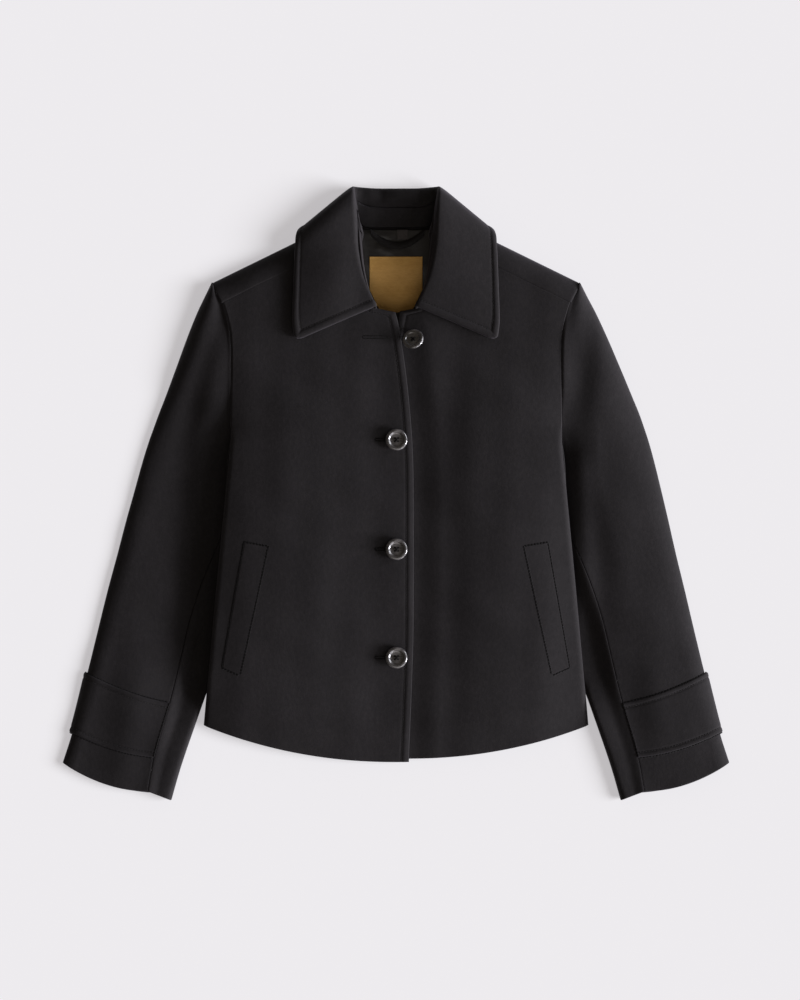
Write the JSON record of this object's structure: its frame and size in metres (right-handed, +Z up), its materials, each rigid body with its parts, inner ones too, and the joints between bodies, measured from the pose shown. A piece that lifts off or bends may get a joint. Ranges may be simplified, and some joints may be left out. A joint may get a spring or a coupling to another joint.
{
  "type": "short coat",
  "caption": "Short wool coat laid flat on its back: point collar, set-in sleeves with cuff tabs, slanted welt pockets and a buttoned front with its top button undone.",
  "frame": {"origin": "on the floor, at the middle of the laid coat's outline", "axes": "+X to the viewer's right across the laid coat (the wearer's left), +Y towards the collar, +Z up off the floor"},
  "size_m": [0.766, 0.7049, 0.0392],
  "materials": {
    "wool": "matte brushed wool",
    "satin_lining": "satin",
    "label": "satin",
    "loop": "satin",
    "tag": "woven",
    "button": "polished horn look"
  },
  "bodies": {
    "root": {"back": "wool", "front_left": "wool", "front_right": "wool", "sleeve_left_top": "wool", "sleeve_left_under": "wool", "sleeve_right_top": "wool", "sleeve_right_under": "wool", "cuff_tab_left": "wool", "cuff_tab_right": "wool", "collar_fall": "wool", "collar_stand": "wool", "pocket_welt_left": "wool", "pocket_welt_right": "wool", "lining_back": "satin_lining", "neck_label": "label", "hanger_loop": "loop", "size_tag": "tag", "button_1": "button", "button_2": "button", "button_3": "button", "button_4": "button"}
  },
  "joints": []
}
